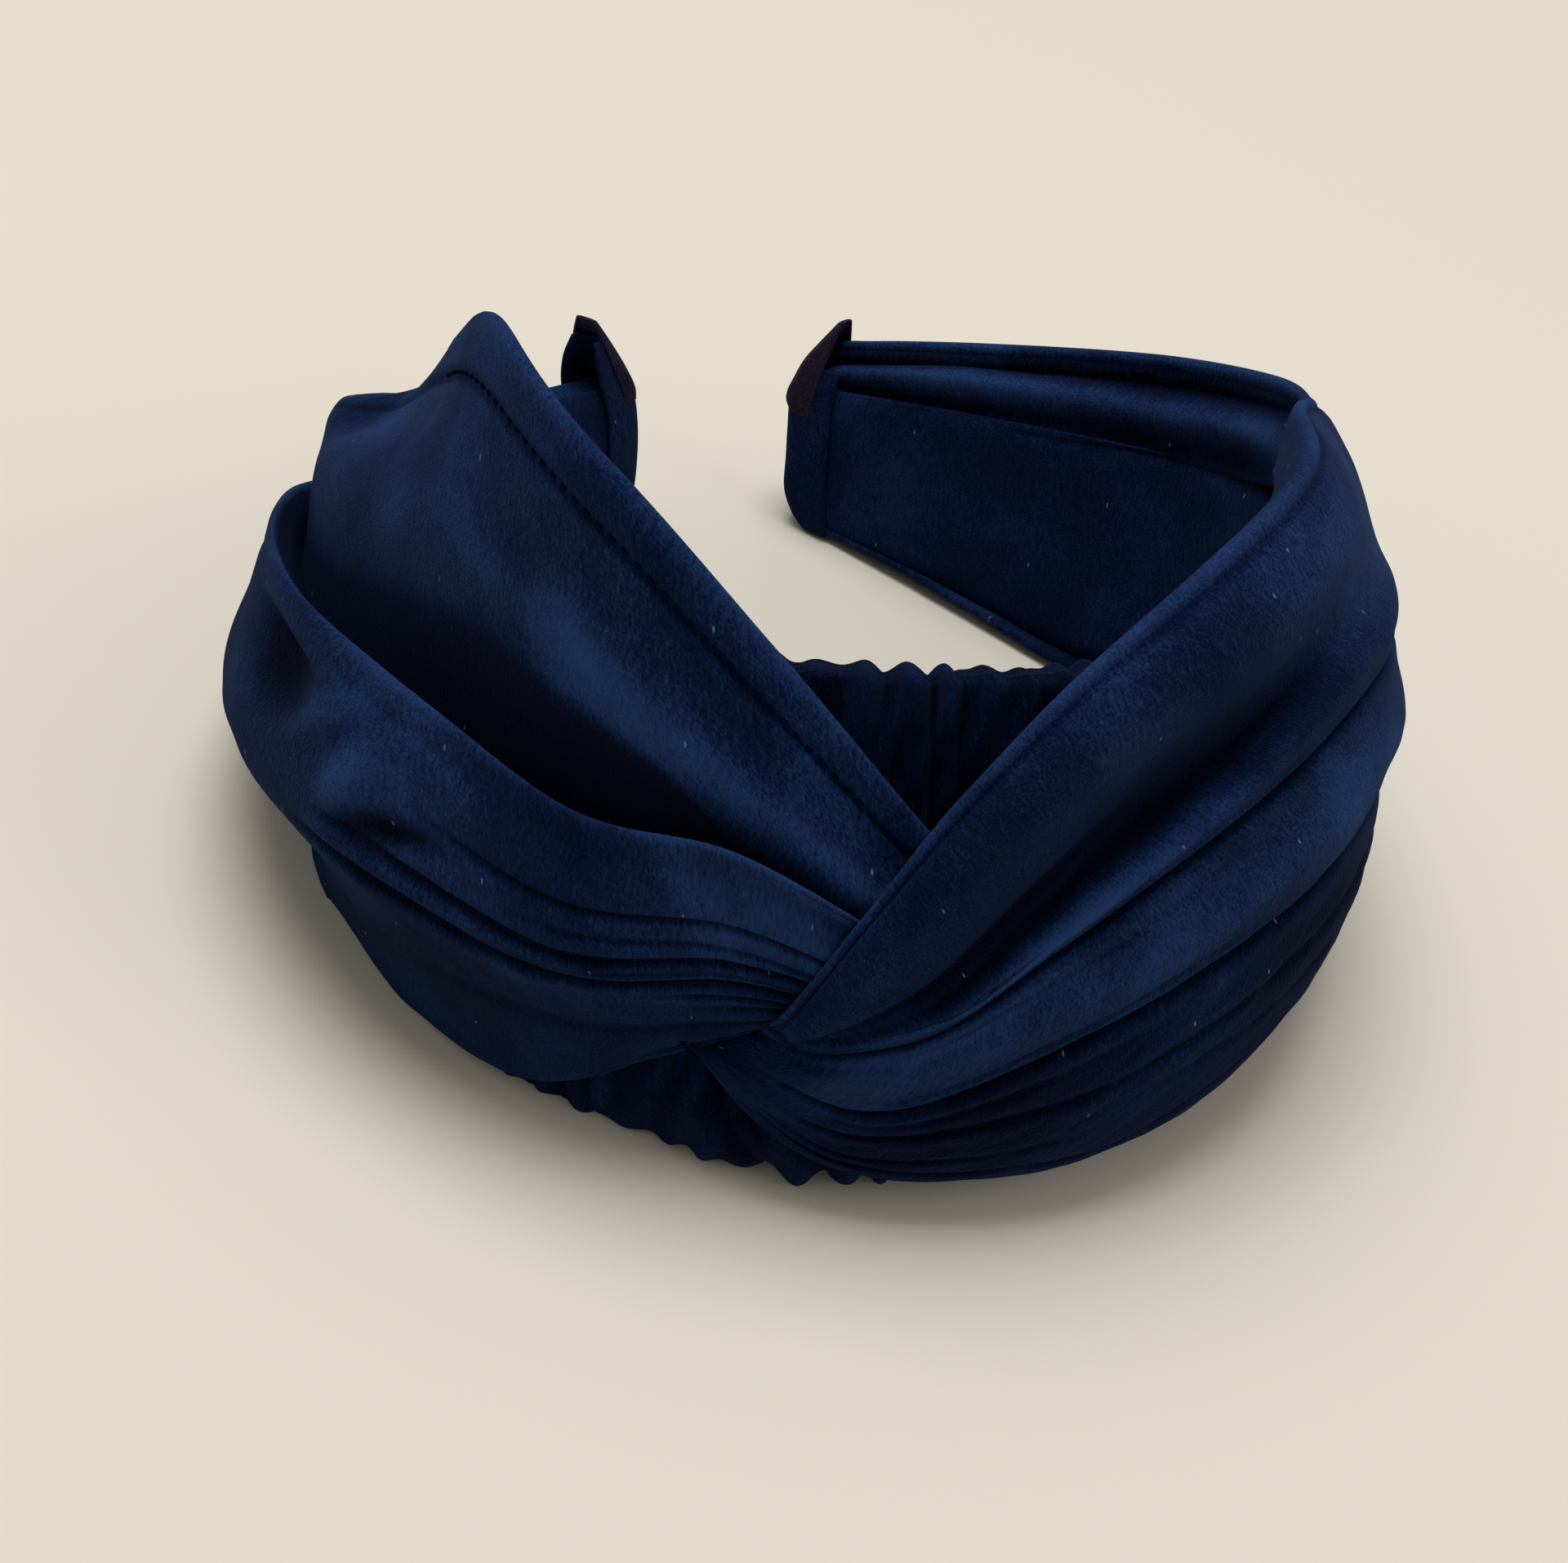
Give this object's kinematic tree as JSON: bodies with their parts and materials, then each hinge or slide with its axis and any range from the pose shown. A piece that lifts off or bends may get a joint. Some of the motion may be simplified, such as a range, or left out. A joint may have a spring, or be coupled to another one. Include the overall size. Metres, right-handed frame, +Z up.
{
  "type": "knotted headband",
  "caption": "Wide velvet headband: a springy C-shaped band with gathered, pleated cloth crossing in a knot at the crown.",
  "frame": {"origin": "on the table the headband rests on, below the centre of the crown curve, inside the head opening", "axes": "+Z up from the table, -Y towards the crown and knot, +Y towards the open tips, +X towards the wearer's side that carries the right-hand cloth lobe as seen from the crown"},
  "size_m": [0.163, 0.1526, 0.0826],
  "materials": {
    "velvet": "napped",
    "lining": "napped",
    "tip_cloth": "matte",
    "thread": "matte",
    "core": "matte"
  },
  "bodies": {
    "crown": {"core_crown": "core", "crown_sleeve": "velvet", "lining_left_crown": "lining", "lining_right_crown": "lining", "left_wrap_crown": "velvet", "left_flap_crown": "velvet", "right_strip_crown": "velvet", "right_wrap_crown": "velvet", "hem_stitches": "thread"},
    "left_arm": {"core_left_arm": "core", "lining_left_arm": "lining", "left_wrap_arm": "velvet", "left_tip_cap": "tip_cloth"},
    "right_arm": {"core_right_arm": "core", "lining_right_arm": "lining", "right_wrap_arm": "velvet", "right_tip_cap": "tip_cloth"}
  },
  "joints": [
    {"name": "left_arm_flex", "type": "hinge", "parent": "crown", "child": "left_arm", "pos_m": [-0.0649, 0, 0.022], "axis": [0, 0.1564, 0.9877], "range_deg": [0, 25], "stiffness_Nm_per_rad": 0.45},
    {"name": "right_arm_flex", "type": "hinge", "parent": "crown", "child": "right_arm", "pos_m": [0.0649, 0, 0.022], "axis": [0, -0.1564, -0.9877], "range_deg": [0, 25], "stiffness_Nm_per_rad": 0.45}
  ]
}
